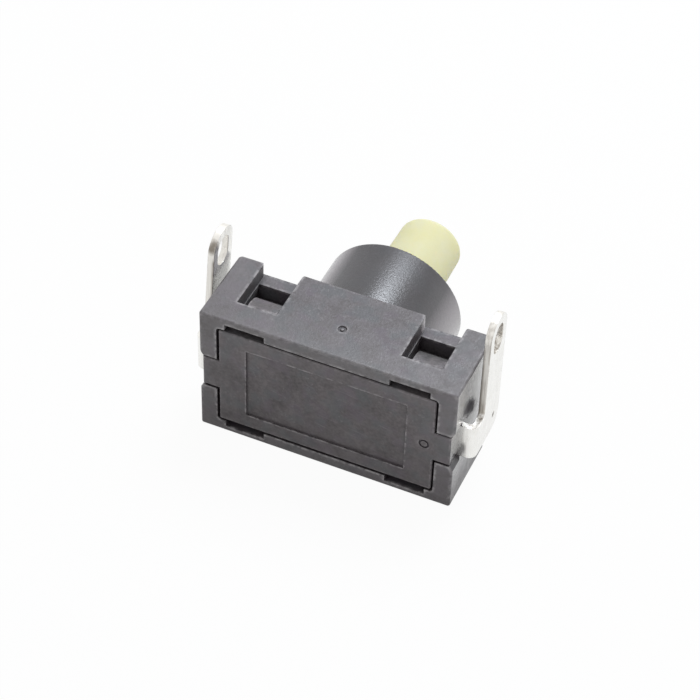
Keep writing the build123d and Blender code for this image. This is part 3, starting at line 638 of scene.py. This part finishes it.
def coil_spring(name, node, body, wire, turns):
    """A round-wire spring in the place of the CAD one, hung on the given body."""
    low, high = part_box(node)
    length = high.y - low.y
    radius = high.x - wire / 2
    steps = round(turns * STEPS_PER_TURN)
    middles = []
    for step in range(steps + 1):
        angle = 2 * math.pi * step / STEPS_PER_TURN
        height = coil_height(step / STEPS_PER_TURN, turns, wire, length)
        middles.append(Vector((radius * math.cos(angle), low.y + height, radius * math.sin(angle))))
    skin = []
    for step, middle in enumerate(middles):
        along = (middles[min(step + 1, steps)] - middles[max(step - 1, 0)]).normalized()
        outward = Vector((middle.x, 0.0, middle.z)).normalized()
        across = along.cross(outward).normalized()
        outward = across.cross(along)
        for side in range(WIRE_SIDES):
            angle = 2 * math.pi * side / WIRE_SIDES
            skin.append(middle + (outward * math.cos(angle) + across * math.sin(angle)) * wire / 2)
    first_end = tuple(reversed(range(WIRE_SIDES)))
    last_end = tuple(range(steps * WIRE_SIDES, (steps + 1) * WIRE_SIDES))
    faces = [first_end, last_end]
    for step in range(steps):
        for side in range(WIRE_SIDES):
            near, far = step * WIRE_SIDES, (step + 1) * WIRE_SIDES
            beside = (side + 1) % WIRE_SIDES
            faces.append((near + side, near + beside, far + beside, far + side))
    mesh = bpy.data.meshes.new(name)
    mesh.from_pydata(skin, [], faces)
    for face in mesh.polygons:
        face.use_smooth = len(face.vertices) == 4
    mesh.materials.append(spring_steel)
    spring = bpy.data.objects.new(name, mesh)
    bpy.context.scene.collection.objects.link(spring)
    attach(spring, body)
    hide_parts(node)
    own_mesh(spring)


coil_spring("return_coil", "return_spring", "base", RETURN_WIRE, RETURN_TURNS)
coil_spring("contact_coil", "contact_spring", "bridge", CONTACT_WIRE, CONTACT_TURNS)

# ---------------------------------------------------------------- clip and latch
# The latch pin is bent from the same wire and runs in the slider's heart groove. The clip under the
# bridge and the bowed leaf that presses on the latch are blanked from spring strip.
for part in ("retaining_clip", "latch_pin", "latch_spring"):
    finish_node(part, spring_steel)

# ---------------------------------------------------------------- table
# A sheet of white paper that the switch lies on, on its lower side face. It sweeps far enough to
# fill the view, and keeps a faint shadow of the switch.
PAPER_SIZE = 1.2                   # in metres
PAPER_GAP = 0.00002                # a hair below the switch, so that the two faces stay apart
PAPER_WHITE = (246, 246, 244)
PAPER_FIBRE = (240, 240, 238)
FIBRES_PER_M = 900.0
PAPER_GLOW = 0.95                  # share of plain white that the camera sees
PAPER_GLOW_MIRRORED = 0.68         # share that reflections see, less so that they keep the shadow

paper_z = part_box("housing")[0].z - PAPER_GAP
paper_mesh = bpy.data.meshes.new("paper")
half = PAPER_SIZE / 2
corners = [(x * half, y * half, paper_z) for x, y in ((-1, -1), (1, -1), (1, 1), (-1, 1))]
paper_mesh.from_pydata(corners, [], [(0, 1, 2, 3)])
paper = bpy.data.objects.new("paper", paper_mesh)
bpy.context.scene.collection.objects.link(paper)


def seen_share(tree, direct, mirrored):
    """The direct share for rays from the camera, the mirrored one for rays from a reflection or a
    clear piece, and 0 for rays that gather light."""
    path = add(tree, "LightPath").outputs
    bounced = larger(tree, path["Is Glossy Ray"], path["Is Transmission Ray"])
    return larger(tree, times(tree, bounced, mirrored), times(tree, path["Is Camera Ray"], direct))


paper_white = bpy.data.materials.new("paper_white")
paper_white.use_nodes = True
tree = paper_white.node_tree
tree.nodes.clear()
fibre = add(tree, "TexNoise", {"Scale": FIBRES_PER_M, "Detail": 3.0})
pulp = blend_colours(tree, fibre.outputs[0], linear(PAPER_WHITE), linear(PAPER_FIBRE))
matt_paper = add(tree, "BsdfDiffuse", {"Color": pulp})
glow = add(tree, "Emission", {"Color": (1, 1, 1, 1), "Strength": 1.0})
share = seen_share(tree, PAPER_GLOW, PAPER_GLOW_MIRRORED)
mixed = add(tree, "MixShader", {0: share, 1: matt_paper.outputs[0], 2: glow.outputs[0]})
tree.links.new(mixed.outputs[0], add(tree, "OutputMaterial").inputs["Surface"])
paper_mesh.materials.append(paper_white)

# ---------------------------------------------------------------- light
# A white room, and a large soft lamp above and behind the switch. It draws the streak along the
# bushing and lifts the upper faces over the front.
ROOM_LEVEL = 0.5
ROOM_MIRRORED = 0.85               # share of plain white that reflections see
SOFTBOX_WAY = (0.06, 0.49, 0.87)   # from the switch to the lamp
SOFTBOX_DISTANCE = 0.4             # in metres, as its two sides are
SOFTBOX_WIDTH = 0.15
SOFTBOX_HEIGHT = 0.2
SOFTBOX_POWER = 1.0
SOFTBOX_COLOUR = (0.88, 0.93, 1.0)

room = bpy.data.worlds.new("room")
bpy.context.scene.world = room
room.use_nodes = True
tree = room.node_tree
level = ramp(tree, seen_share(tree, 1.0, ROOM_MIRRORED), 0.0, 1.0, ROOM_LEVEL, 1.0)
tree.links.new(level, tree.nodes["Background"].inputs["Strength"])
tree.nodes["Background"].inputs["Color"].default_value = (1, 1, 1, 1)

lamp = bpy.data.lights.new("softbox", "AREA")
lamp.shape = "RECTANGLE"
lamp.size = SOFTBOX_WIDTH
lamp.size_y = SOFTBOX_HEIGHT
lamp.energy = SOFTBOX_POWER
lamp.color = SOFTBOX_COLOUR
softbox = bpy.data.objects.new("softbox", lamp)
bpy.context.scene.collection.objects.link(softbox)
middle = (Vector(cad_box[0]) + Vector(cad_box[1])) / 2
way = Vector(SOFTBOX_WAY).normalized()
softbox.location = middle + way * SOFTBOX_DISTANCE
softbox.rotation_euler = way.to_track_quat("Z", "Y").to_euler()

# ---------------------------------------------------------------- camera
# It stands in front of the switch, to its right and well above it, tilted a touch to one side. The
# long lens keeps both ends of the switch nearly the same size.
CAMERA_PLACE = Vector((0.0731232, -0.1810711, 0.1898791))    # in metres
CAMERA_TURN = math.radians(22.4322)
CAMERA_DIP = math.radians(44.1903)
CAMERA_ROLL = math.radians(2.1463)
LENS_MM = 117.74
SENSOR_MM = 36.0
NEAREST = 0.01

lens = bpy.data.cameras.new("camera")
lens.lens = LENS_MM
lens.sensor_width = SENSOR_MM
lens.clip_start = NEAREST
camera = bpy.data.objects.new("camera", lens)
bpy.context.scene.collection.objects.link(camera)
turn = Matrix.Rotation(CAMERA_TURN, 4, "Z") @ Matrix.Rotation(math.pi / 2 - CAMERA_DIP, 4, "X")
camera.matrix_world = Matrix.Translation(CAMERA_PLACE) @ turn @ Matrix.Rotation(CAMERA_ROLL, 4, "Z")
bpy.context.scene.camera = camera
bpy.context.scene.view_settings.view_transform = "Standard"
